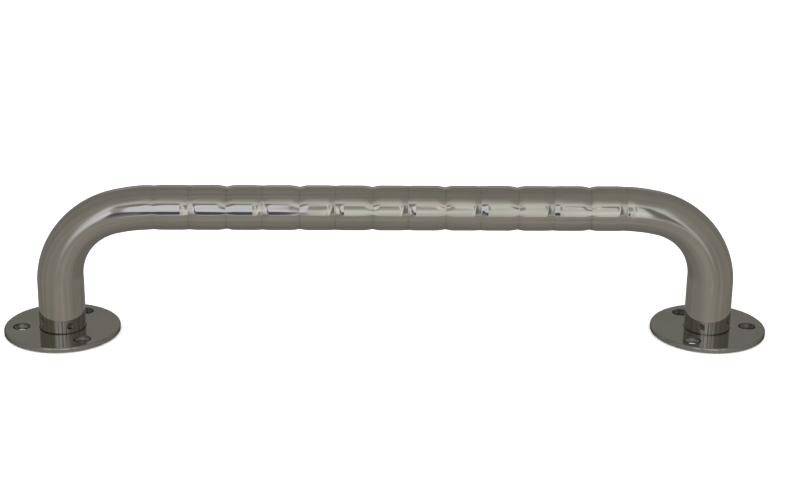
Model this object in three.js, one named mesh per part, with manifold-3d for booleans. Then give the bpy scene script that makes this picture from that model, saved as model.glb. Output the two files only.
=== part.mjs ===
// A boat's grab rail: one round tube, crimped along its grip and bent down at both ends,
// with each end set into a round base flange and welded on the flange's hidden side.
//
// Millimetres, +Z up. The origin is midway between the two feet, on the plane that the feet
// are screwed down to. +X runs along the grip, and -Y is the front of the rail.

import * as THREE from 'three';
import { mergeVertices } from 'three/addons/utils/BufferGeometryUtils.js';
import Module from 'manifold-3d';

// ---- Driving dimensions ----

const FOOT_SPACING = 356; // between the axes of the two legs
const RAIL_HEIGHT = 71.75; // from the mounting plane up to the grip's axis

const TUBE_RADIUS = 12.7; // a one inch tube
const TUBE_WALL = 1.5;

const BEND_RADIUS = 40; // of the tube's axis, through most of each bend
const BEND_ANGLE = THREE.MathUtils.degToRad(76.5); // turned at that radius
const RUN_IN_RADIUS = 92; // of the gentler curve that runs out into the grip
const BEND_FLATTENING = 0.067; // how far the tube's bore is squashed in the plane of the bend
const GRIP_FLATTENING = 0.043; // how far the crimping press has lowered the whole grip

const CRIMP_COUNT = 14;
const CRIMP_PITCH = 19.6;
const CRIMP_SHIFT = 1.5; // how far the middle of the row lies to the right of the rail's
const FIRST_CRIMP_STRENGTH = 0.45; // the leftmost crimp is pressed less than the others

// The two kinds of crimp, which take turns along the grip. Each is pressed from one side (0 is
// the top, and a quarter turn is the front). It has a depth there, on the opposite side and all
// the way round. Its reach is half its width along the tube, and its shift is how far it lies
// to the right of its even place. The higher the sharpness, the more its flanks are hollowed.
const TOP_CRIMP = {
  side: 0, pressed: 0.89, opposite: 0.71, around: -0.03, reach: 4.5, sharpness: 1.6, shift: 0.1,
};
const FRONT_CRIMP = {
  side: Math.PI / 2, pressed: 0.48, opposite: 0.35, around: 0.1, reach: 3.85, sharpness: 1.3, shift: -0.45,
};

const FLANGE_RADIUS = 31.7;
const FLANGE_THICKNESS = 2.5;
const RIM_WIDTH = 0.9; // the rounded-over top edge, measured inwards
const RIM_HEIGHT = 0.9; // and measured downwards
const RIM_STEPS = 4;
const LEFT_DISC_OFFSET = { x: -0.25, y: 0.25 }; // of the disc's middle from the tube's axis
const RIGHT_DISC_OFFSET = { x: 0.6, y: 0.55 };
const LEFT_FLANGE_TURN = THREE.MathUtils.degToRad(4.5);

const SCREW_CIRCLE_RADIUS = 22.5;
const SCREW_HOLE_RADIUS = 2.8;
const COUNTERSINK_RADIUS = 4.8; // at the flange's top face
const SCREWS_PER_FLANGE = 3;

const GAP = 0.3; // between a piece and its neighbour
const TUBE_INSERTION = 1.3; // how far each tube end goes down into its flange
const WELD_PREP = 1.1; // the bevel under the flange's central hole
const WELD_RECESS = 0.1; // how far the weld stays above the mounting plane
const WELD_HEIGHT = 0.6;

const TUBE_SIDES = 24;
const BORE_SIDES = 14;
const FLANGE_SIDES = 48;

// ---- Materials ----

function steel(color, roughness) {
  return new THREE.MeshStandardMaterial({ color, roughness, metalness: 1 });
}

const polishedTube = steel(0xb3ada2, 0.12);
const polishedFlange = steel(0xb0aba0, 0.08);
const weldMetal = steel(0x8d8378, 0.45);

// ---- The tube's route ----

// Each stop on the route holds the tube's axis there, and how far it has turned from vertical.
function stop(x, z, turned) {
  return { x, z, turned };
}

const bendRise = BEND_RADIUS * Math.sin(BEND_ANGLE)
  + RUN_IN_RADIUS * (1 - Math.sin(BEND_ANGLE));
const legTop = RAIL_HEIGHT - bendRise;
const bendEnd = FOOT_SPACING / 2 - BEND_RADIUS * (1 - Math.cos(BEND_ANGLE));
const gripEnd = bendEnd - RUN_IN_RADIUS * Math.cos(BEND_ANGLE);

function leftLegAndBend() {
  const bottom = FLANGE_THICKNESS - TUBE_INSERTION;
  const stops = [
    stop(-FOOT_SPACING / 2, bottom, 0),
    stop(-FOOT_SPACING / 2, (bottom + legTop) / 2, 0),
  ];
  const steps = 12;
  for (let i = 0; i <= steps; i += 1) {
    const turned = BEND_ANGLE * i / steps;
    const x = BEND_RADIUS * (1 - Math.cos(turned)) - FOOT_SPACING / 2;
    stops.push(stop(x, BEND_RADIUS * Math.sin(turned) + legTop, turned));
  }
  return stops;
}

// The grip is straight in the middle and runs out into the bends in a gentle curve.
function gripStop(x) {
  const beyond = Math.max(0, Math.abs(x) - gripEnd);
  const turned = Math.acos(beyond / RUN_IN_RADIUS);
  const z = RAIL_HEIGHT - RUN_IN_RADIUS * (1 - Math.sin(turned));
  return stop(x, z, x < 0 ? turned : Math.PI - turned);
}

const crimps = Array.from({ length: CRIMP_COUNT }, (_, i) => {
  const kind = i % 2 === 0 ? TOP_CRIMP : FRONT_CRIMP;
  const evenPlace = (i - (CRIMP_COUNT - 1) / 2) * CRIMP_PITCH + CRIMP_SHIFT;
  const strength = i === 0 ? FIRST_CRIMP_STRENGTH : 1;
  return { ...kind, strength, place: evenPlace + kind.shift };
});

function grip() {
  const places = [-(bendEnd + gripEnd) / 2, (bendEnd + gripEnd) / 2];
  for (const { place, reach } of crimps) {
    places.push(...[-1, -0.4, 0, 0.4, 1].map((part) => place + part * reach));
  }
  return places.sort((a, b) => a - b).map(gripStop);
}

function mirrored(stops) {
  return stops.map((s) => stop(-s.x, s.z, Math.PI - s.turned)).reverse();
}

const leftEnd = leftLegAndBend();
const route = [...leftEnd, ...grip(), ...mirrored(leftEnd)];

// ---- The tube's section ----

// How far a crimp pushes the wall in. It fades out a quarter of a turn away from the side it
// is pressed from, and from the opposite side.
function crimpDepth(x, around) {
  let depth = 0;
  for (const crimp of crimps) {
    const away = Math.abs(x - crimp.place) / crimp.reach;
    if (away < 1) {
      const facing = Math.cos(around - crimp.side);
      const pressed = facing > 0 ? crimp.pressed * facing : -crimp.opposite * facing;
      depth += crimp.strength * (pressed + crimp.around) * (1 - away) ** crimp.sharpness;
    }
  }
  return depth;
}

// A point of the straight pipe, moved to where bending and crimping leave it. around is the
// angle about the axis: 0 faces the outside of the bends and the top of the grip, and 90
// degrees faces the front.
function placeOnRoute(s, radius, around) {
  const bent = Math.sin(s.turned);
  const flattening = BEND_FLATTENING * Math.abs(Math.sin(2 * s.turned))
    + GRIP_FLATTENING * bent;
  const crimped = crimpDepth(s.x, around);
  const outward = (radius - crimped) * Math.cos(around) * (1 - flattening);
  const forward = (radius - crimped) * Math.sin(around);
  return [
    s.x - outward * Math.cos(s.turned),
    -forward,
    s.z + outward * Math.sin(s.turned),
  ];
}

function railTube() {
  const ring = new THREE.Shape();
  ring.absarc(0, 0, TUBE_RADIUS, 0, 2 * Math.PI);
  const bore = new THREE.Path();
  bore.setFromPoints(Array.from({ length: BORE_SIDES }, (_, i) => {
    const angle = 2 * Math.PI * i / BORE_SIDES;
    return new THREE.Vector2(Math.cos(angle), Math.sin(angle))
      .multiplyScalar(TUBE_RADIUS - TUBE_WALL);
  }));
  ring.holes.push(bore);
  const steps = route.length - 1;
  const pipe = new THREE.ExtrudeGeometry(ring, {
    depth: steps,
    steps,
    bevelEnabled: false,
    curveSegments: TUBE_SIDES / 2,
  });
  const points = pipe.attributes.position;
  for (let i = 0; i < points.count; i += 1) {
    const x = points.getX(i);
    const y = points.getY(i);
    const s = route[Math.round(points.getZ(i))];
    points.setXYZ(i, ...placeOnRoute(s, Math.hypot(x, y), Math.atan2(y, x)));
  }
  pipe.deleteAttribute('uv');
  pipe.computeVertexNormals();
  return pipe;
}

// ---- Solids that turn about Z, and cuts ----

function turned(profile, sides) {
  return new THREE.LatheGeometry(profile.map(([r, z]) => new THREE.Vector2(r, z)), sides)
    .rotateX(Math.PI / 2);
}

const wasm = await Module();
wasm.setup();

function toSolid(geometry) {
  const bare = geometry.clone();
  bare.deleteAttribute('normal');
  bare.deleteAttribute('uv');
  const merged = mergeVertices(bare, 1e-3);
  return new wasm.Manifold(new wasm.Mesh({
    numProp: 3,
    vertProperties: merged.attributes.position.array,
    triVerts: new Uint32Array(merged.index.array),
  }));
}

function toGeometry(solid) {
  const mesh = solid.getMesh();
  const geometry = new THREE.BufferGeometry();
  geometry.setAttribute('position', new THREE.BufferAttribute(mesh.vertProperties, 3));
  geometry.setIndex(new THREE.BufferAttribute(mesh.triVerts, 1));
  geometry.computeVertexNormals();
  return geometry;
}

// ---- Base flange ----

function flangeDisc() {
  const profile = [[0, 0], [FLANGE_RADIUS, 0]];
  for (let i = 0; i <= RIM_STEPS; i += 1) {
    const rolled = Math.PI / 2 * i / RIM_STEPS;
    profile.push([
      FLANGE_RADIUS - RIM_WIDTH * (1 - Math.cos(rolled)),
      FLANGE_THICKNESS - RIM_HEIGHT * (1 - Math.sin(rolled)),
    ]);
  }
  profile.push([0, FLANGE_THICKNESS]);
  return turned(profile, FLANGE_SIDES);
}

// The tube's hole, with a bevel at the bottom for the weld.
function socketCutter() {
  const clear = 1;
  const holeRadius = TUBE_RADIUS + GAP;
  return turned([
    [0, -clear],
    [holeRadius + WELD_PREP + clear, -clear],
    [holeRadius, WELD_PREP],
    [holeRadius, FLANGE_THICKNESS + clear],
    [0, FLANGE_THICKNESS + clear],
  ], FLANGE_SIDES);
}

function screwHoleCutter() {
  const slope = (COUNTERSINK_RADIUS - SCREW_HOLE_RADIUS) / (FLANGE_THICKNESS - 0.2);
  const clear = 1;
  return turned([
    [0, -clear],
    [SCREW_HOLE_RADIUS, -clear],
    [SCREW_HOLE_RADIUS, 0.2],
    [COUNTERSINK_RADIUS + slope * clear, FLANGE_THICKNESS + clear],
    [0, FLANGE_THICKNESS + clear],
  ], 20);
}

// One screw hole lies on the outer side of the foot, in line with the rail or nearly so.
function baseFlange(outerSide, discOffset) {
  let solid = toSolid(flangeDisc().translate(discOffset.x, discOffset.y, 0));
  solid = solid.subtract(toSolid(socketCutter()));
  for (let i = 0; i < SCREWS_PER_FLANGE; i += 1) {
    const angle = outerSide + 2 * Math.PI * i / SCREWS_PER_FLANGE;
    const cutter = screwHoleCutter().translate(
      SCREW_CIRCLE_RADIUS * Math.cos(angle),
      SCREW_CIRCLE_RADIUS * Math.sin(angle),
      0,
    );
    solid = solid.subtract(toSolid(cutter));
  }
  return toGeometry(solid);
}

// ---- Weld bead, under the end of the tube and inside the flange's bevel ----

function weldBead() {
  const inner = TUBE_RADIUS - TUBE_WALL + 0.2;
  const bottom = WELD_RECESS;
  const top = WELD_RECESS + WELD_HEIGHT;
  const bevelRadius = (z) => TUBE_RADIUS + GAP + WELD_PREP - z;
  return turned([
    [inner, bottom],
    [bevelRadius(bottom) - GAP * Math.SQRT2, bottom],
    [bevelRadius(top) - GAP * Math.SQRT2, top],
    [inner, top],
    [inner, bottom],
  ], FLANGE_SIDES);
}

// ---- Assembly ----

function piece(name, geometry, material, x = 0) {
  const mesh = new THREE.Mesh(geometry, material);
  mesh.name = name;
  mesh.position.x = x;
  return mesh;
}

const rail = new THREE.Group();
rail.add(piece('rail_tube', railTube(), polishedTube));
for (const [side, x, outerSide, discOffset] of [
  ['left', -FOOT_SPACING / 2, Math.PI + LEFT_FLANGE_TURN, LEFT_DISC_OFFSET],
  ['right', FOOT_SPACING / 2, 0, RIGHT_DISC_OFFSET],
]) {
  rail.add(piece(`${side}_base_flange`, baseFlange(outerSide, discOffset), polishedFlange, x));
  rail.add(piece(`${side}_weld_bead`, weldBead(), weldMetal, x));
}

export default rail;
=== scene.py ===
import math

import bpy
import numpy as np
from mathutils import Matrix, Vector
from mathutils.geometry import delaunay_2d_cdt


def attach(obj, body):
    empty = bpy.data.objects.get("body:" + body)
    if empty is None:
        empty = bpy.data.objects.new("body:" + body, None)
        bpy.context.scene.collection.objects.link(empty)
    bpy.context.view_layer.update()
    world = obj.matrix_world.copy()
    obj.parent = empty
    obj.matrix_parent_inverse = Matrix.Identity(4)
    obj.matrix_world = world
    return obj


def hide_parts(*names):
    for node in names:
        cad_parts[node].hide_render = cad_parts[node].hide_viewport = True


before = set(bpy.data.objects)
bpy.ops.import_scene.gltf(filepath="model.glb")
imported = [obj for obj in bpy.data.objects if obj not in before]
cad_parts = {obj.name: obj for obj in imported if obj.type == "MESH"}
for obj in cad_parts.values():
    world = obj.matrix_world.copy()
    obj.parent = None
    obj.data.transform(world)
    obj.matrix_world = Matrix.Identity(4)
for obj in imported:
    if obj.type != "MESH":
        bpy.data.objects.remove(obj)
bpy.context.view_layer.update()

# A boat's grab rail: a polished tube with a crimped grip, bent down into a flange at each foot.
# Shapes are worked out in millimetres, in the frame's axes, and written to meshes in metres.
# The frame's record gives the driving sizes, and they are repeated here for the finer shapes.

MM = 0.001
TAU = 2 * math.pi

FOOT_SPACING = 356.0
LEFT_FOOT = -FOOT_SPACING / 2
RIGHT_FOOT = FOOT_SPACING / 2
RAIL_HEIGHT = 71.75
TUBE_RADIUS = 12.7
TUBE_WALL = 1.5

BEND_RADIUS = 40.0
BEND_ANGLE = math.radians(76.5)
RUN_IN_RADIUS = 92.0
# The shares of its height that the tube loses in the bends and in the crimping press.
BEND_FLATTENING = 0.067
GRIP_FLATTENING = 0.043

CRIMP_COUNT = 14
CRIMP_PITCH = 19.6
CRIMP_SHIFT = 1.5
# How rounded a crimp's bottom and edges are, how much of its depth shows in the bore, and how wide
# the line of painted shade along its bottom is.
CRIMP_ROUNDING = 0.25
CRIMP_EDGE_SOFTNESS = 0.02
INNER_CRIMP_SHARE = 0.9
CREASE_SHADE_WIDTH = 0.4
# The two kinds of crimp, which take turns along the grip. Each is pressed from one side (0 is the
# top, a quarter turn is the front). It has a depth there, on the opposite side and all the way
# round. Its reach is how far it runs to each side along the tube, and its shift is how far it
# lies from its even place. The higher the sharpness, the more its flanks are hollowed. The
# strengths, from left to right, say how much of the depth each crimp of the kind has.
TOP_CRIMP = {"side": -0.137, "pressed": 0.89, "opposite": 0.71, "around": -0.03, "shift": 0.1,
             "reach": (4.75, 4.15), "sharpness": (1.58, 1.65), "strengths": (0.45, 1, 1, 1, 1, 1, 1)}
FRONT_CRIMP = {"side": math.pi / 2 - 0.055, "pressed": 0.48, "opposite": 0.35, "around": 0.1, "shift": -0.45,
               "reach": (3.9, 3.75), "sharpness": (1.25, 1.37), "strengths": (1, 1, 1, 1, 0.9, 0.8, 0.7)}

FLANGE_RADIUS = 31.7
FLANGE_THICKNESS = 2.5
RIM_WIDTH = 0.9
RIM_HEIGHT = 0.9
LEFT_DISC_OFFSET = (-0.25, 0.25)
RIGHT_DISC_OFFSET = (0.6, 0.55)
LEFT_FLANGE_TURN = math.radians(4.5)
SCREW_CIRCLE = 22.5
SCREW_HOLE_RADIUS = 2.8
SCREW_HOLE_HEIGHT = 0.2
COUNTERSINK_RADIUS = 4.8
COUNTERSINK_SOFTNESS = 0.22
UNDER_RIM_RADIUS = 0.18

TUBE_INSERTION = 1.3
SOCKET_RADIUS = 12.84
SOCKET_LIP = 0.12
BEVEL_RADIUS = 14.08

BEAD_RADIUS = 12.5
BEAD_HALF_WIDTH = 1.3
BEAD_RIPPLES = 58
BEAD_RIPPLE_HEIGHT = 0.09
BEAD_RIPPLE_LAG = 5.0
BEAD_RIPPLE_WANDER = 1.5
BEAD_EDGE_WANDER = 0.8

# How many sides the round surfaces have.
OUTER_SIDES = 128
INNER_SIDES = 64
DISC_SIDES = 160
SOCKET_SIDES = 112
SCREW_HOLE_SIDES = 56
BEAD_SIDES = 360

# The camera looks along +Y, turned a little to the right and down.
SENSOR_WIDTH = 36.0
FOCAL_LENGTH = 87.918
CAMERA_PLACE = (-25.52, -982.34, 428.21)
CAMERA_PITCH = math.radians(20.988)
CAMERA_YAW = math.radians(1.764)
CAMERA_ROLL = math.radians(0.784)


# ---- Camera ----

def camera():
    data = bpy.data.cameras.new("camera")
    data.sensor_width = SENSOR_WIDTH
    data.lens = FOCAL_LENGTH
    data.clip_start = 0.01
    data.clip_end = 50
    obj = bpy.data.objects.new("camera", data)
    bpy.context.scene.collection.objects.link(obj)
    ahead = Vector((math.sin(CAMERA_YAW), math.cos(CAMERA_YAW), 0))
    forward = ahead * math.cos(CAMERA_PITCH) - Vector((0, 0, math.sin(CAMERA_PITCH)))
    level = Vector((math.cos(CAMERA_YAW), -math.sin(CAMERA_YAW), 0))
    above = level.cross(forward)
    right = level * math.cos(CAMERA_ROLL) + above * math.sin(CAMERA_ROLL)
    up = above * math.cos(CAMERA_ROLL) - level * math.sin(CAMERA_ROLL)
    place = Vector(CAMERA_PLACE) * MM
    obj.matrix_world = Matrix((
        (right.x, up.x, -forward.x, place.x),
        (right.y, up.y, -forward.y, place.y),
        (right.z, up.z, -forward.z, place.z),
        (0, 0, 0, 1),
    ))
    bpy.context.scene.camera = obj


# ---- Mesh helpers ----

def mesh_object(name, points, faces, material):
    """A smooth mesh from points in millimetres."""
    mesh = bpy.data.meshes.new(name)
    mesh.from_pydata([tuple(p) for p in np.asarray(points) * MM], [], [tuple(f) for f in faces])
    mesh.polygons.foreach_set("use_smooth", [True] * len(mesh.polygons))
    mesh.materials.append(material)
    obj = bpy.data.objects.new(name, mesh)
    bpy.context.scene.collection.objects.link(obj)
    return obj


def vector_attribute(obj, name, values):
    attribute = obj.data.attributes.new(name, "FLOAT_VECTOR", "POINT")
    attribute.data.foreach_set("vector", np.asarray(values, np.float32).ravel())


def value_attribute(obj, name, values):
    attribute = obj.data.attributes.new(name, "FLOAT", "POINT")
    attribute.data.foreach_set("value", np.asarray(values, np.float32))


def grid_faces(rows, columns, start, flip):
    """Quads between successive closed rings of points."""
    faces = []
    for i in range(rows - 1):
        for j in range(columns):
            k = (j + 1) % columns
            a, b = start + i * columns + j, start + i * columns + k
            c, d = b + columns, a + columns
            faces.append((a, d, c, b) if flip else (a, b, c, d))
    return faces


# ---- The tube ----

def route():
    """The tube's axis: x, z and how far it has turned from vertical, and the length so far."""
    s, c = math.sin(BEND_ANGLE), math.cos(BEND_ANGLE)
    leg_top = RAIL_HEIGHT - BEND_RADIUS * s - RUN_IN_RADIUS * (1 - s)
    bend_end = FOOT_SPACING / 2 - BEND_RADIUS * (1 - c)
    grip_end = bend_end - RUN_IN_RADIUS * c
    bottom = FLANGE_THICKNESS - TUBE_INSERTION
    # The rows are close together at the seam, where the painted shade fades out.
    at_seam = FLANGE_THICKNESS + np.array([-0.2, 0.1, 0.3, 0.5, 0.7, 0.9, 1.2])
    above = np.linspace(at_seam[-1], leg_top, 23)[1:-1]
    left = [(LEFT_FOOT, z, 0.0) for z in (bottom, *at_seam, *above)]
    for turned in np.linspace(0, BEND_ANGLE, 64):
        x = LEFT_FOOT + BEND_RADIUS * (1 - math.cos(turned))
        left.append((x, leg_top + BEND_RADIUS * math.sin(turned), turned))
    grip = []
    for x in grip_stations(bend_end - 0.4):
        turned = math.acos(max(0.0, abs(x) - grip_end) / RUN_IN_RADIUS)
        z = RAIL_HEIGHT - RUN_IN_RADIUS * (1 - math.sin(turned))
        grip.append((x, z, turned if x < 0 else math.pi - turned))
    right = [(-x, z, math.pi - turned) for x, z, turned in reversed(left)]
    whole = np.array(left + grip + right)
    step = np.hypot(np.diff(whole[:, 0]), np.diff(whole[:, 1]))
    length = np.concatenate([[0], np.cumsum(step)])
    return whole, length - length[-1] / 2


def crimps():
    """Each crimp's kind, its place along X and how strongly it is pressed."""
    kinds = [TOP_CRIMP, FRONT_CRIMP] * (CRIMP_COUNT // 2)
    first = CRIMP_SHIFT - (CRIMP_COUNT - 1) / 2 * CRIMP_PITCH
    return [(kind, first + i * CRIMP_PITCH + kind["shift"], kind["strengths"][i // 2])
            for i, kind in enumerate(kinds)]


def grip_stations(end):
    """Places along X, close together at each crease."""
    near = np.array([0, 0.12, 0.25, 0.4, 0.6, 0.85, 1.15, 1.5, 2, 2.6, 3.3, 4.1, 4.9, 5.7, 6.6, 7.6, 8.7,
                     9.8])
    offsets = np.concatenate([-near[:0:-1], near[:-1]])
    places = np.concatenate([place + offsets for _, place, _ in crimps()])
    places = np.concatenate([places, np.arange(places.max() + 1, end), -np.arange(-places.min() + 1, end)])
    return np.sort(places[np.abs(places) < end])


def crimp_profile(away, kind):
    """1 at the crease, falling to 0 at the crimp's edges. The crease and edges are a little rounded."""
    reach, sharpness = (np.where(away < 0, *kind[key]) for key in ("reach", "sharpness"))
    rounded = np.sqrt(away ** 2 + CRIMP_ROUNDING ** 2) - CRIMP_ROUNDING
    rise = 1 - rounded / reach
    rise = (rise + np.sqrt(rise ** 2 + CRIMP_EDGE_SOFTNESS)) / 2 - CRIMP_EDGE_SOFTNESS / 4
    return np.where(np.abs(away) < 2 * reach, np.clip(rise, 0, 1) ** sharpness, 0)


def crimp_depth(x, around):
    """How far the wall is pressed in at a place along X and an angle round the tube."""
    depth = np.zeros(np.broadcast(x, around).shape)
    for kind, place, strength in crimps():
        facing = np.cos(around - kind["side"])
        pressed = np.where(facing > 0, kind["pressed"] * facing, -kind["opposite"] * facing)
        depth = depth + strength * (pressed + kind["around"]) * crimp_profile(x - place, kind)
    return depth


def crease(x):
    """1 along the bottom of a full crimp, falling to 0 beside it."""
    return sum(strength * np.exp(-((x - place) / CREASE_SHADE_WIDTH) ** 2) for _, place, strength in crimps())


def place_on_route(stops, radius, around, crimped):
    """Points of the straight pipe, moved to where bending and crimping leave them."""
    x, z, turned = (stops[:, i][:, None] for i in range(3))
    around = around[None, :]
    flattening = BEND_FLATTENING * np.abs(np.sin(2 * turned)) + GRIP_FLATTENING * np.sin(turned)
    depth = crimp_depth(x, around) * crimped
    outward = (radius - depth) * np.cos(around) * (1 - flattening)
    forward = (radius - depth) * np.sin(around)
    return np.stack([
        x - outward * np.cos(turned),
        -forward,
        z + outward * np.sin(turned),
    ], -1)


def end_ring(outer_start, inner_start, flip):
    """Faces that close the wall at an end of the tube."""
    ratio = OUTER_SIDES // INNER_SIDES
    faces = []
    for j in range(INNER_SIDES):
        outer = [outer_start + (ratio * j + m) % OUTER_SIDES for m in range(ratio + 1)]
        inner = [inner_start + (j + 1) % INNER_SIDES, inner_start + j]
        faces.append((outer + inner)[::-1] if flip else outer + inner)
    return faces


def straight_pipe(length, angles, radius):
    """Where the points were while the pipe was still straight, for the buffing lines."""
    ring = np.stack([np.cos(angles), np.sin(angles)], -1) * radius
    return np.concatenate([
        np.broadcast_to(ring[None], (len(length), len(angles), 2)),
        np.broadcast_to(length[:, None, None], (len(length), len(angles), 1)),
    ], -1).reshape(-1, 3)


def rail_tube(material):
    stops, length = route()
    rows = len(stops)
    outer_angles = np.arange(OUTER_SIDES) * TAU / OUTER_SIDES
    inner_angles = np.arange(INNER_SIDES) * TAU / INNER_SIDES
    bore_radius = TUBE_RADIUS - TUBE_WALL
    outer = place_on_route(stops, TUBE_RADIUS, outer_angles, 1.0)
    inner = place_on_route(stops, bore_radius, inner_angles, INNER_CRIMP_SHARE)
    points = np.concatenate([outer.reshape(-1, 3), inner.reshape(-1, 3)])
    inner_start = rows * OUTER_SIDES
    faces = grid_faces(rows, OUTER_SIDES, 0, flip=False)
    faces += grid_faces(rows, INNER_SIDES, inner_start, flip=True)
    faces += end_ring(0, inner_start, flip=True)
    faces += end_ring((rows - 1) * OUTER_SIDES, inner_start + (rows - 1) * INNER_SIDES, flip=False)
    obj = mesh_object("rail_tube_polished", points, faces, material)
    obj.data.set_sharp_from_angle(angle=math.radians(50))
    vector_attribute(obj, "pipe", np.concatenate([
        straight_pipe(length, outer_angles, TUBE_RADIUS), straight_pipe(length, inner_angles, bore_radius)]))
    # Each crease gets a line of painted shade, except high on the front, where it is left out.
    unshaded_side, unshaded_width = 1.2, 0.4
    crease_shade = [crease(stops[:, 0])[:, None] * (1 - np.exp(-((ring - unshaded_side) / unshaded_width) ** 2))
                 for ring in (outer_angles, inner_angles)]
    value_attribute(obj, "crease", np.concatenate([values.ravel() for values in crease_shade]))
    # Painted shade in the seam between the tube and the flange, fading out above it.
    at_seam = np.interp(stops[:, 1], (FLANGE_THICKNESS + 0.3, FLANGE_THICKNESS + 0.9), (1, 0))
    value_attribute(obj, "painted_shade", np.concatenate([
        np.repeat(at_seam, OUTER_SIDES), np.repeat(at_seam, INNER_SIDES)]))
    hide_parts("rail_tube")
    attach(obj, "root")


# ---- Flanges ----

def arc(centre, radius_r, radius_z, start, end, steps):
    """Points of an upright profile (distance from the axis, height), between two angles in degrees."""
    angles = np.radians(np.linspace(start, end, steps + 1))
    return [(centre[0] + radius_r * math.cos(a), centre[1] + radius_z * math.sin(a)) for a in angles]


def revolve(profile, centre, sides, points, faces, flip):
    """Adds a surface turned about a vertical axis. Returns its first and last rings' indices."""
    start = len(points)
    for r, z in profile:
        for j in range(sides):
            a = TAU * j / sides
            points.append((centre[0] + r * math.cos(a), centre[1] + r * math.sin(a), z))
    faces += grid_faces(len(profile), sides, start, flip)
    last = start + (len(profile) - 1) * sides
    return list(range(start, start + sides)), list(range(last, last + sides))


def fill(loops, points, faces, up):
    """Fills the flat region inside the first loop and outside the others."""
    indices = [i for loop in loops for i in loop]
    flat = [Vector((points[i][0], points[i][1])) for i in indices]
    edges, at = [], 0
    for loop in loops:
        edges += [(at + i, at + (i + 1) % len(loop)) for i in range(len(loop))]
        at += len(loop)
    corners, _, triangles, sources, *_ = delaunay_2d_cdt(flat, edges, [], 0, 1e-7)
    circles = []
    for loop in loops:
        ring = np.array([points[i][:2] for i in loop])
        circles.append((ring.mean(0), np.linalg.norm(ring - ring.mean(0), axis=1).max()))
    (middle, reach), *holes = circles
    for face in triangles:
        ring = np.array([corners[i] for i in face])
        spot = ring.mean(0)
        if np.linalg.norm(spot - middle) > reach:
            continue
        # A triangle in a hole has its middle and all its corners within the hole's rim.
        if any(np.linalg.norm(spot - c) < r * 0.999 and all(
                np.linalg.norm(p - c) < r * 1.001 for p in ring) for c, r in holes):
            continue
        turn = [indices[sources[i][0]] for i in face]
        a, b, c = (np.array(points[i][:2]) for i in turn[:3])
        ccw = (b[0] - a[0]) * (c[1] - a[1]) - (b[1] - a[1]) * (c[0] - a[0]) > 0
        faces.append(turn if ccw == up else turn[::-1])


def rim_profile():
    """From the flat top, over the rolled rim, down to the flat underside."""
    rolled = arc((FLANGE_RADIUS - RIM_WIDTH, FLANGE_THICKNESS - RIM_HEIGHT), RIM_WIDTH, RIM_HEIGHT, 90, 0, 14)
    under = arc((FLANGE_RADIUS - UNDER_RIM_RADIUS, UNDER_RIM_RADIUS), UNDER_RIM_RADIUS, UNDER_RIM_RADIUS,
                0, -90, 4)
    return rolled + under


def socket_profile():
    """The socket for the tube, with a bevel below for the weld."""
    lip = arc((SOCKET_RADIUS + SOCKET_LIP, FLANGE_THICKNESS - SOCKET_LIP), SOCKET_LIP, SOCKET_LIP, 90, 180, 5)
    depth = BEVEL_RADIUS - SOCKET_RADIUS
    return lip + [(SOCKET_RADIUS, depth + 0.02), (SOCKET_RADIUS + 0.03, depth - 0.03),
                  (BEVEL_RADIUS - 0.03, 0.03), (BEVEL_RADIUS + 0.02, 0)]


def screw_hole_profile():
    """A countersink with a soft mouth, a short bore and a softened edge below."""
    rise = FLANGE_THICKNESS - SCREW_HOLE_HEIGHT
    slope = math.atan2(rise, COUNTERSINK_RADIUS - SCREW_HOLE_RADIUS)
    steep = 90 + math.degrees(slope)
    soft = COUNTERSINK_SOFTNESS
    mouth_radius = COUNTERSINK_RADIUS + soft * math.tan(slope / 2)
    mouth = arc((mouth_radius, FLANGE_THICKNESS - soft), soft, soft, 90, steep, 4)
    bore = arc((SCREW_HOLE_RADIUS + 0.1, 0.24), 0.1, 0.1, steep, 180, 3)
    # Rows down the cone, for its painted shade.
    cone = [tuple(np.add(mouth[-1], part * np.subtract(bore[0], mouth[-1]))) for part in (0.2, 0.45, 0.8)]
    under = arc((SCREW_HOLE_RADIUS + 0.08, 0.08), 0.08, 0.08, 180, 270, 3)
    return mouth + cone + bore + under


def base_flange(name, x, disc_offset, outer_side, painted_shade, material):
    points, faces = [], []
    disc = (x + disc_offset[0], disc_offset[1])
    loops = [revolve(rim_profile(), disc, DISC_SIDES, points, faces, flip=True),
             revolve(socket_profile(), (x, 0), SOCKET_SIDES, points, faces, flip=False)]
    angles = [outer_side + TAU * i / 3 for i in range(3)]
    holes = [(x + SCREW_CIRCLE * math.cos(a), SCREW_CIRCLE * math.sin(a)) for a in angles]
    for hole in holes:
        loops.append(revolve(screw_hole_profile(), hole, SCREW_HOLE_SIDES, points, faces, flip=False))
    tops, unders = zip(*loops)
    fill(tops, points, faces, up=True)
    fill(unders, points, faces, up=False)
    obj = mesh_object(name, points, faces, material)
    obj.data.set_sharp_from_angle(angle=math.radians(40))
    # Each countersink is darkest at the mouth and in the bore, with painted shade. Between them it has its
    # own amount of painted shade.
    place = np.array(points)[:, :2]
    value_attribute(obj, "painted_shade", sum(
        np.interp(np.linalg.norm(place - hole, axis=1),
                  (2.9, 3.2, 3.9, 4.4, COUNTERSINK_RADIUS - 0.02, COUNTERSINK_RADIUS),
                  (1, between, between, 1, 1, 0))
        for hole, between in zip(holes, painted_shade)))
    weighted = obj.modifiers.new("even_normals", "WEIGHTED_NORMAL")
    weighted.mode = "FACE_AREA"
    weighted.weight = 100
    weighted.keep_sharp = True
    return obj


# ---- Weld beads, on the underside ----

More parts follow.
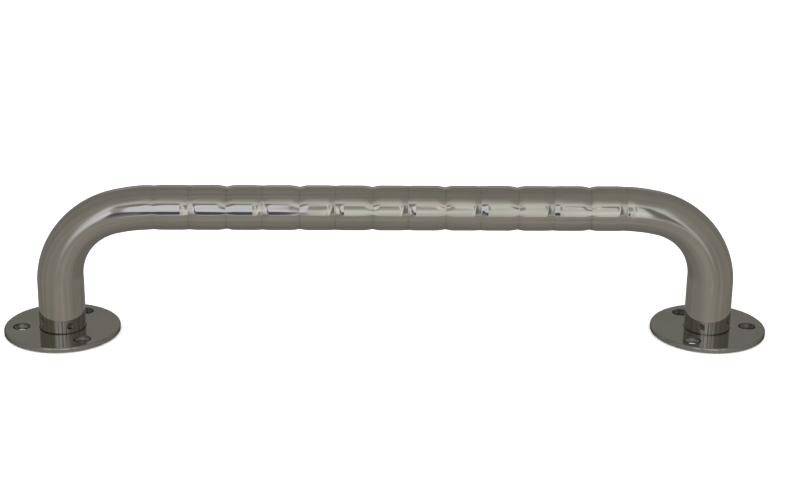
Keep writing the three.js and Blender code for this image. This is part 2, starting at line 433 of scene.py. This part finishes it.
def weld_bead(name, x, seed, material):
    rng = np.random.default_rng(seed)
    a = np.arange(BEAD_SIDES) * TAU / BEAD_SIDES
    wobble = sum(rng.normal(0, 0.06) * np.cos(k * a + rng.uniform(0, TAU)) for k in range(2, 9))
    # Distance from the axis, height and whether the wobble moves it. Ripples fade at both edges.
    profile = [(11.45, 0.72, 0), (11.3, 0.5, 1), (11.5, 0.28, 1), (11.9, 0.16, 0), (12.4, 0.11, 0),
               (12.9, 0.12, 0), (13.35, 0.2, 0), (13.6, 0.34, 1), (13.5, 0.5, 1), (13.2, 0.72, 0)]
    last = len(profile) - 1
    points = []
    for k, (r, z, moves) in enumerate(profile):
        across = ((r - BEAD_RADIUS) / BEAD_HALF_WIDTH) ** 2
        # Each ripple is a crescent, so its phase lags away from the middle of the bead.
        phase = BEAD_RIPPLES * a + BEAD_RIPPLE_LAG * across + BEAD_RIPPLE_WANDER * wobble
        height = 0 if k in (0, last) else BEAD_RIPPLE_HEIGHT * max(0.0, 1 - across)
        ridge = height * (1 - np.abs(np.sin(phase / 2)) ** 0.7)
        radius = r + moves * wobble * BEAD_EDGE_WANDER
        points.append(np.stack([x + radius * np.cos(a), radius * np.sin(a), z + ridge], -1))
    faces = grid_faces(len(profile), BEAD_SIDES, 0, flip=True)
    last_start = last * BEAD_SIDES
    for j in range(BEAD_SIDES):
        k = (j + 1) % BEAD_SIDES
        faces.append((j, k, last_start + k, last_start + j))
    return mesh_object(name, np.concatenate(points), faces, material)


# ---- Materials ----

class Nodes:
    """A short way to build a material's node tree."""

    def __init__(self, name):
        self.material = bpy.data.materials.new(name)
        self.material.use_nodes = True
        self.tree = self.material.node_tree
        self.shader = self.tree.nodes["Principled BSDF"]

    def add(self, kind, inputs=None, **settings):
        node = self.tree.nodes.new(kind)
        for key, value in settings.items():
            setattr(node, key, value)
        for key, value in (inputs or {}).items():
            if isinstance(value, bpy.types.NodeSocket):
                self.tree.links.new(value, node.inputs[key])
            else:
                node.inputs[key].default_value = value
        return node

    def link(self, source, socket):
        self.tree.links.new(source, self.shader.inputs[socket])

    def stretched(self, source, scale):
        return self.add("ShaderNodeMapping", {"Vector": source, "Scale": scale}).outputs[0]

    def noise(self, vector, scale, detail):
        return self.add("ShaderNodeTexNoise", {
            "Vector": vector, "Scale": scale, "Detail": detail, "Roughness": 0.55}).outputs[0]

    def ramp(self, value, low, high, to_low, to_high):
        return self.add("ShaderNodeMapRange", {
            "Value": value, "From Min": low, "From Max": high,
            "To Min": to_low, "To Max": to_high}).outputs[0]

    def mix(self, factor, a, b):
        """Two colours mixed. The node keeps its colour sockets after those for numbers and vectors."""
        inputs = {0: factor, 6: (*a, 1), 7: (*b, 1)}
        return self.add("ShaderNodeMix", inputs, data_type="RGBA").outputs[2]

    def scaled(self, colour, factor):
        return self.add("ShaderNodeVectorMath", {0: colour, "Scale": factor}, operation="SCALE").outputs[0]

    def combine(self, a, b, operation):
        return self.add("ShaderNodeMath", {0: a, 1: b}, operation=operation).outputs[0]

    def attribute(self, name, socket):
        return self.add("ShaderNodeAttribute", attribute_name=name).outputs[socket]

    def bump(self, height, distance, under=None):
        inputs = {"Height": height, "Distance": distance}
        if under is not None:
            inputs["Normal"] = under
        return self.add("ShaderNodeBump", inputs).outputs[0]


def polished_tube():
    n = Nodes("polished_tube")
    pipe = n.attribute("pipe", "Vector")
    lines = n.noise(n.stretched(pipe, (1.0, 1.0, 0.03)), 1.1, 4.0)
    streaks = n.noise(n.stretched(pipe, (1.0, 1.0, 0.02)), 0.45, 3.0)
    smudge = n.noise(n.stretched(pipe, (1.0, 1.0, 0.5)), 0.09, 3.0)
    tint = n.ramp(smudge, 0.35, 0.65, 0.0, 1.0)
    colour = n.mix(tint, (0.58, 0.58, 0.515), (0.65, 0.59, 0.555))
    colour = n.scaled(colour, n.ramp(streaks, 0.3, 0.7, 0.87, 1.12))
    # Painted shade darkens the colour along each crease.
    colour = n.scaled(colour, n.ramp(n.attribute("crease", "Fac"), 0.0, 1.0, 1.0, 0.85))
    # Painted shade darkens the foot of the tube in patches, down in the seam.
    patchy = n.ramp(n.noise(pipe, 0.12, 2.0), 0.35, 0.6, 0.25, 1.0)
    painted_shade = n.combine(n.attribute("painted_shade", "Fac"), patchy, "MULTIPLY")
    n.link(n.scaled(colour, n.ramp(painted_shade, 0.0, 1.0, 1.0, 0.2)), "Base Color")
    n.shader.inputs["Metallic"].default_value = 1.0
    n.link(n.ramp(lines, 0.3, 0.7, 0.03, 0.07), "Roughness")
    wave = n.noise(n.stretched(pipe, (1.0, 1.0, 0.12)), 0.35, 2.0)
    n.link(n.bump(lines, 0.000005, n.bump(wave, 0.00003)), "Normal")
    return n.material


def mirror_flange():
    n = Nodes("mirror_flange")
    place = n.add("ShaderNodeTexCoord").outputs["Object"]
    smudge = n.noise(place, 60.0, 3.0)
    tint = n.ramp(smudge, 0.35, 0.65, 0.0, 1.0)
    colour = n.mix(tint, (0.485, 0.49, 0.445), (0.52, 0.495, 0.46))
    speckle = n.noise(place, 900.0, 2.0)
    colour = n.scaled(colour, n.ramp(speckle, 0.3, 0.7, 0.95, 1.05))
    # The countersinks are darkened with painted shade and made duller, most of all at the mouth and in the
    # bore.
    painted_shade = n.attribute("painted_shade", "Fac")
    n.link(n.scaled(colour, n.ramp(painted_shade, 0.0, 1.0, 1.0, 0.3)), "Base Color")
    n.shader.inputs["Metallic"].default_value = 1.0
    # Less of a mirror at low angles than the tube is.
    n.shader.inputs["Specular Tint"].default_value = (0.3, 0.3, 0.3, 1)
    shine = n.ramp(smudge, 0.3, 0.7, 0.05, 0.09)
    n.link(n.combine(shine, n.ramp(painted_shade, 0.0, 1.0, 0.0, 0.12), "ADD"), "Roughness")
    n.link(n.bump(n.noise(place, 45.0, 2.0), 0.00001), "Normal")
    return n.material


def weld_metal():
    n = Nodes("weld_metal")
    place = n.add("ShaderNodeTexCoord").outputs["Object"]
    patch = n.noise(place, 350.0, 4.0)
    tint = n.ramp(patch, 0.35, 0.65, 0.0, 1.0)
    n.link(n.mix(tint, (0.32, 0.27, 0.22), (0.46, 0.43, 0.41)), "Base Color")
    n.shader.inputs["Metallic"].default_value = 1.0
    n.link(n.ramp(patch, 0.3, 0.7, 0.3, 0.55), "Roughness")
    n.link(n.bump(n.noise(place, 4000.0, 2.0), 0.00002), "Normal")
    return n.material


# ---- Studio ----

# The rail stands on a table inside a grey tent, which is open at the front. The tent, the table
# and the bright room beyond the opening are seen only in reflections. Each patch of the room is
# given by directions from the rail: its elevation, and at that elevation the azimuths (0 is the
# front, -Y, and minus is left) where it starts, is full, stops being full and ends, with how much
# it covers the patches before it.

# In metres
ROOM_DISTANCE = 3.0
FLOOR_REACH = 8.0
FLOOR_HEIGHT = -0.0005

# The shade under the screw holes, in millimetres
SHADE_RADIUS = 6.0
SHADE_HEIGHT = -0.25
SHADE_SIDES = 24

SOFT_LIGHT = 1.7

# The tent and the table are brightest toward the front. Each level goes with a place from the
# back (0) to the front (1). The table starts where a direction's height (the sine of its
# elevation) is TABLE_TOP, and fills the view below TABLE_BOTTOM.
TENT_TINT = (1.035, 1.0, 0.92)
TENT_LEVELS = [(0.0, 0.205), (0.5, 0.245), (1.0, 0.30)]
TABLE_LEVELS = [(0.0, 0.165), (0.25, 0.185), (0.5, 0.224), (0.72, 0.275), (0.88, 0.315), (0.95, 0.36),
                (1.0, 0.395)]
TABLE_TOP, TABLE_BOTTOM = -0.35, -0.47

CREAM = (0.77, 0.78, 0.76)
DAYLIGHT = (0.79, 0.83, 0.945)
LEFT_WALL = (0.74, 0.775, 0.82)
RIGHT_WALL = (0.67, 0.70, 0.695)

ROOM = [
    ("halo", (0.35, 0.35, 0.33), [
        (62, -55, -30, 30, 60, 0), (45, -60, -35, 35, 65, 0.7), (15, -55, -32, 32, 62, 0.8),
        (-5, -42, -25, 30, 50, 0.25), (-13, -34, -20, 26, 42, 0)]),
    ("ceiling", (0.63, 0.62, 0.575), [
        (72, -34, -12, 0, 34, 0.08), (64, -36, -14, 0, 34, 0.22), (58, -38, -16, 0, 32, 0.36),
        (54, -42, -20, -2, 30, 0.6), (49, -44, -24, 2, 34, 0.82), (45, -44, -26, 8, 36, 0.8),
        (38, -44, -26, 14, 38, 0.72), (28, -44, -26, 16, 38, 0.4), (15, -42, -26, 16, 38, 0)]),
    ("left_wall", LEFT_WALL, [
        (45, -38, -32, -22, -10, 0), (42, -38, -30.5, -24, -12, 0.65), (36, -39, -30, -22, -10, 0.82),
        (24, -39, -28.5, -18, -8, 0.9), (12, -41, -26, -12, -6, 1), (0, -36, -22, -10, -6, 1),
        (-6, -34, -22, -10, -6, 0.8), (-12, -32, -22, -10, -6, 0.38), (-16, -30, -19, -10, -6, 0.18),
        (-21, -28, -14, -8, -6, 0)]),
    ("left_wall_edge", (1.0, 1.0, 1.0), [
        (24, -26, -21.5, -20, -18.5, 0), (17, -25, -21, -19.5, -17.5, 0.6),
        (8, -24.5, -20.5, -19, -17, 0.55), (1, -25, -21, -20, -17.5, 0)]),
    ("right_wall", RIGHT_WALL, [
        (45, 14, 26, 28, 44, 0), (41, 12, 26, 28, 43, 0.35), (34, 12, 25, 26.5, 41, 0.65),
        (27, 12, 24, 25.5, 38, 0.88), (15, 12, 23, 24.5, 36, 1), (3, 10, 22, 23, 33, 0.9),
        (-6, 10, 21, 24, 33, 0.55), (-12, 10, 15, 21, 32, 0.5), (-18, 9, 14, 19, 29, 0.36),
        (-21, 9, 13, 18, 26, 0)]),
    ("daylight", DAYLIGHT, [
        (34.6, -16, -11, -3.2, -2, 0), (34, -15, -10, -3.2, -2, 0.95), (32, -15, -10, -3.2, -2, 0.95),
        (28, -18.5, -16, -3.2, -2, 0.95), (20, -17, -15.5, -3, -1.8, 1), (10, -15, -13, -2.4, -1.5, 1),
        (-1, -9.6, -9.2, -2.3, -1.5, 0.9), (-3, -9.6, -9.2, -2.3, -1.5, 0.8)]),
    ("cream_wall", CREAM, [
        (50, -3, 2, 6, 26, 0), (46, -4, 0, 8, 24, 0.4), (41, -4, 0, 11, 22, 0.65),
        (33, -3, 0, 13, 20, 0.78), (24, -2, 0, 17.5, 18.5, 1), (10, -2, -1, 16, 17, 1),
        (-3, -2.1, -1.3, 14.4, 15.4, 1), (-12, -2.6, -1.6, 12.8, 14, 0.95),
        (-20.5, -2.4, -1.2, 10.8, 13, 0.8), (-22.5, -1, 0, 10.5, 13, 0.1)]),
    ("cream_edge", (1.0, 0.99, 0.95), [
        (22, 11, 15.5, 16.5, 18, 0), (15, 10, 14.5, 15.5, 17.2, 0.5), (0, 8, 12.5, 13.8, 15.4, 0.6),
        (-12, 7, 11, 12, 13.6, 0.4), (-18, 7, 10, 11.5, 13.2, 0)]),
    ("cream_low", (0.56, 0.56, 0.52), [
        (5, 0, 1.6, 3, 10, 0), (-8, 0, 1.6, 3, 10, 0.6), (-15, 0, 1.6, 3, 10, 0.85),
        (-21, 0, 1.6, 3, 10, 0.6), (-22.5, 0, 1.6, 3, 10, 0)]),
    ("lintel", (0.265, 0.245, 0.225), [
        (44, -30, -25, -12, -2, 0), (41, -29, -26, -10, -1, 0.8), (38, -28, -25.5, -7, -0.5, 1),
        (35.5, -27, -24.5, -8, -2, 1), (34, -26, -24, -11, -7, 0.9), (31, -26, -23, -15, -11, 0.92),
        (28, -26, -23, -18, -14, 0.8)]),
    ("left_post", (0.40, 0.375, 0.34), [
        (30, -25, -22.5, -19, -16.5, 1), (20, -21, -19.2, -17.4, -15.6, 1),
        (14, -17.8, -17, -16, -14.8, 1), (9, -17.6, -16.5, -15, -13.4, 1)]),
    ("left_post_foot", (0.11, 0.105, 0.10), [
        (14, -18.5, -16.6, -15.4, -14.2, 0.3), (8, -18.6, -16, -14.2, -12.6, 1),
        (2, -19, -15, -11.5, -10, 1), (-1, -19, -14, -10, -9, 1), (-4, -18, -13, -9, -8.5, 0.85),
        (-7, -17, -13, -9, -8.5, 0.85), (-10, -18, -15, -9, -8.5, 0.65), (-13, -18, -15, -9, -8.5, 0.45),
        (-17, -18, -14, -9, -8.5, 0.2)]),
    ("navy_box", (0.09, 0.098, 0.12), [
        (0.4, -10.2, -9.4, -2.4, -1.6, 0), (-0.8, -10.2, -9.4, -2.4, -1.6, 1),
        (-8, -9.8, -8.8, -2.4, -1.6, 1), (-15, -9.8, -8.8, -3.4, -2.4, 1),
        (-16.5, -9.8, -8.8, -3.8, -2.8, 0)]),
    ("sill", (0.52, 0.55, 0.60), [
        (-15, -10.4, -9.5, -3, -1.5, 0), (-16.6, -10.4, -9.5, -3, -1.5, 0.9),
        (-20.5, -9.8, -8.8, -3, -1.5, 0.85), (-22.5, -9.8, -8.8, -3, -1.5, 0.1)]),
    ("right_post", (0.20, 0.20, 0.195), [
        (36, 18, 20.5, 22, 25, 0), (32, 18.6, 20, 22, 25, 0.75), (26, 18.4, 19.4, 21.2, 23.4, 0.95),
        (16, 16.8, 18, 20.6, 23.2, 1), (3, 15.2, 16.2, 20.8, 23.8, 1), (-4, 13.8, 15.2, 20.8, 24.4, 1),
        (-8, 13.2, 14.6, 20, 23.4, 0.7), (-13, 12.8, 14.2, 17, 21, 0.2), (-17, 12, 13.6, 16, 20, 0)]),
    ("window_frame", (0.25, 0.25, 0.24), [
        (35, 8, 10.5, 14, 17, 0), (33, 8.5, 11, 14, 16, 0.7), (30.5, 8.5, 11, 14, 16, 1),
        (28, 10, 11.5, 13.5, 15.5, 0.9), (22, 11, 12, 13.2, 14.4, 0.95), (12, 10.8, 11.8, 12.6, 13.6, 0.6),
        (6, 10.8, 11.8, 12.4, 13.2, 0.3), (2, 10.8, 11.8, 12.4, 13.2, 0)]),
    ("standing_figure", (0.30, 0.30, 0.285), [
        (34, -2.5, -0.5, 2, 4.5, 0), (30, -2.5, -0.5, 2, 4.5, 0.85), (23, -3, -1, 3, 5.5, 0.85),
        (14, -3.5, -2, 4, 6, 0.5), (8, -3, -2, 3, 5, 0)]),
]

# Behind the rail, the tent has a low window and a pale panel.
BACK = [
    ("low_window", (0.80, 0.81, 0.80), [
        (-17, 156, 164, 190, 198, 0), (-14, 156, 164, 190, 198, 1), (-8, 156, 164, 190, 198, 1),
        (-5, 156, 164, 190, 198, 0)]),
    ("back_panel", (0.365, 0.36, 0.332), [
        (11, 150, 166, 194, 210, 0), (16, 150, 166, 194, 210, 1), (27, 150, 166, 194, 210, 1),
        (33, 150, 166, 194, 210, 0)]),
]


def soft_step(value):
    value = np.clip(value, 0, 1)
    return value * value * (3 - 2 * value)


def surroundings(azimuth, elevation, patches):
    """The colour seen in each direction, with the patches laid over the tent and the table."""
    a, e = np.radians(azimuth), np.radians(elevation)
    frontness = (1 + np.cos(e) * np.cos(a)) / 2
    tent, table = (np.interp(frontness, *zip(*levels)) for levels in (TENT_LEVELS, TABLE_LEVELS))
    level = tent + (table - tent) * soft_step((np.sin(e) - TABLE_TOP) / (TABLE_BOTTOM - TABLE_TOP))
    colour = level[..., None] * np.array(TENT_TINT)
    for _, paint, rows in patches:
        heights, *limits = np.array(sorted(rows), float).T
        start, full, full_end, end, most = (np.interp(elevation, heights, values) for values in limits)
        inside = (elevation >= heights[0]) & (elevation <= heights[-1])
        across = np.minimum((azimuth - start) / (full - start), (end - azimuth) / (end - full_end))
        amount = (soft_step(across) * most * inside)[..., None]
        colour = colour * (1 - amount) + np.array(paint) * amount
    return colour


def reflected_wall(name, azimuths, elevations, patches):
    """A flat upright wall that gives light and is seen only in reflections."""
    azimuth, elevation = np.meshgrid(azimuths, elevations)
    a, e = np.radians(azimuth), np.radians(elevation)
    away = ROOM_DISTANCE / np.abs(np.cos(a))
    points = np.stack([away * np.sin(a), -away * np.cos(a), RAIL_HEIGHT * MM + away * np.tan(e)], -1)
    rows, columns = azimuth.shape
    faces = [(i * columns + j, i * columns + j + 1, (i + 1) * columns + j + 1, (i + 1) * columns + j)
             for i in range(rows - 1) for j in range(columns - 1)]
    mesh = bpy.data.meshes.new(name)
    mesh.from_pydata(points.reshape(-1, 3).tolist(), [], faces)
    colour = surroundings(azimuth, elevation, patches).reshape(-1, 3)
    light = mesh.attributes.new("light", "FLOAT_COLOR", "POINT")
    light.data.foreach_set("color", np.hstack([colour, np.ones((len(colour), 1))]).astype(np.float32).ravel())
    material = bpy.data.materials.new(name)
    material.use_nodes = True
    tree = material.node_tree
    tree.nodes.clear()
    seen = tree.nodes.new("ShaderNodeAttribute")
    seen.attribute_name = "light"
    emission = tree.nodes.new("ShaderNodeEmission")
    output = tree.nodes.new("ShaderNodeOutputMaterial")
    tree.links.new(seen.outputs["Color"], emission.inputs["Color"])
    tree.links.new(emission.outputs[0], output.inputs[0])
    material.cycles.emission_sampling = "NONE"
    mesh.materials.append(material)
    obj = bpy.data.objects.new(name, mesh)
    bpy.context.scene.collection.objects.link(obj)
    obj.visible_camera = False
    obj.visible_diffuse = False
    obj.visible_shadow = False
    obj.visible_transmission = False


def matt(name, colour, roughness):
    material = bpy.data.materials.new(name)
    material.use_nodes = True
    shader = material.node_tree.nodes["Principled BSDF"]
    shader.inputs["Base Color"].default_value = (*colour, 1)
    shader.inputs["Roughness"].default_value = roughness
    shader.inputs["Specular IOR Level"].default_value = 0.0
    return material


def floor():
    """The pale floor that the camera sees, with a little shade under most of the screw holes."""
    mesh = bpy.data.meshes.new("floor")
    sides = ((-1, -1), (1, -1), (1, 1), (-1, 1))
    mesh.from_pydata([(x * FLOOR_REACH, y * FLOOR_REACH, FLOOR_HEIGHT) for x, y in sides], [], [(0, 1, 2, 3)])
    mesh.materials.append(matt("pale_floor", (0.92, 0.92, 0.91), 0.9))
    pale = bpy.data.objects.new("floor", mesh)
    bpy.context.scene.collection.objects.link(pale)
    pale.visible_glossy = False
    shade = matt("shade", (0.10, 0.095, 0.085), 0.5)
    angles = np.arange(SHADE_SIDES) * TAU / SHADE_SIDES
    shaded_holes = [(LEFT_FOOT, 60), (LEFT_FOOT, 300), (RIGHT_FOOT, 0), (RIGHT_FOOT, 120)]
    for i, (foot, turn) in enumerate(shaded_holes):
        x = foot + SCREW_CIRCLE * math.cos(math.radians(turn))
        y = SCREW_CIRCLE * math.sin(math.radians(turn))
        pad = np.stack([x + SHADE_RADIUS * np.cos(angles), y + SHADE_RADIUS * np.sin(angles),
                        np.full(SHADE_SIDES, SHADE_HEIGHT)], -1)
        mesh_object(f"shade_{i}", pad, [range(SHADE_SIDES)], shade)


def soft_light():
    """Soft white light from all round. Reflections see the grey tent and the table instead."""
    world = bpy.data.worlds.new("studio")
    bpy.context.scene.world = world
    world.use_nodes = True
    tree = world.node_tree
    tree.nodes.clear()

    def node(kind, *sources, **values):
        made = tree.nodes.new(kind)
        for key, value in values.items():
            setattr(made, key, value)
        for socket, source in zip(made.inputs, sources):
            if isinstance(source, bpy.types.NodeSocket):
                tree.links.new(source, socket)
            else:
                socket.default_value = source
        return made

    def levels_ramp(frontness, levels):
        ramp = node("ShaderNodeValToRGB", frontness)
        stops = ramp.color_ramp.elements
        for i, (place, level) in enumerate(levels):
            stop = stops[0] if i == 0 else stops[-1] if i == len(levels) - 1 else stops.new(place)
            stop.position = place
            stop.color = (*(level * c for c in TENT_TINT), 1)
        return ramp.outputs[0]

    direction = node("ShaderNodeSeparateXYZ", node("ShaderNodeTexCoord").outputs["Generated"])
    frontness = node("ShaderNodeMapRange", direction.outputs[1], 1.0, -1.0).outputs[0]
    below = node("ShaderNodeMapRange", direction.outputs[2], TABLE_TOP, TABLE_BOTTOM,
                 interpolation_type="SMOOTHSTEP").outputs[0]
    tent = node("ShaderNodeBackground", levels_ramp(frontness, TENT_LEVELS))
    table = node("ShaderNodeBackground", levels_ramp(frontness, TABLE_LEVELS))
    reflected = node("ShaderNodeMixShader", below, tent.outputs[0], table.outputs[0])
    soft = node("ShaderNodeBackground", (1, 1, 1, 1), SOFT_LIGHT)
    is_glossy = node("ShaderNodeLightPath").outputs["Is Glossy Ray"]
    seen = node("ShaderNodeMixShader", is_glossy, soft.outputs[0], reflected.outputs[0])
    node("ShaderNodeOutputWorld", seen.outputs[0])


def studio():
    bpy.context.scene.view_settings.view_transform = "Standard"
    floor()
    soft_light()
    # The columns are closest together where the room has its narrowest patches.
    azimuths = np.concatenate([np.arange(-62, -32, 1.0), np.arange(-32, 32.2, 0.4), np.arange(33, 70, 1.0)])
    reflected_wall("bright_room", azimuths, np.arange(-24, 74, 0.6), ROOM)
    reflected_wall("back", np.arange(146, 215, 2.0), np.arange(-19, 36, 1.0), BACK)


# ---- The scene ----

camera()
rail_tube(polished_tube())
flange_metal, bead_metal = mirror_flange(), weld_metal()
# Each foot: its place, how far the disc is off it, where its outer screw hole is, how much painted
# shade its three countersinks get and the seed of its weld bead.
for side, x, disc_offset, outer_side, painted_shade, seed in (
        ("left", LEFT_FOOT, LEFT_DISC_OFFSET, math.pi + LEFT_FLANGE_TURN, (0.3, 0.55, 0.95), 11),
        ("right", RIGHT_FOOT, RIGHT_DISC_OFFSET, 0.0, (0.75, 0.95, 0.3), 12)):
    flange = base_flange(f"{side}_flange_polished", x, disc_offset, outer_side, painted_shade, flange_metal)
    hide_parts(f"{side}_base_flange")
    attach(flange, "root")
    bead = weld_bead(f"{side}_weld_rippled", x, seed, bead_metal)
    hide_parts(f"{side}_weld_bead")
    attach(bead, "root")
studio()
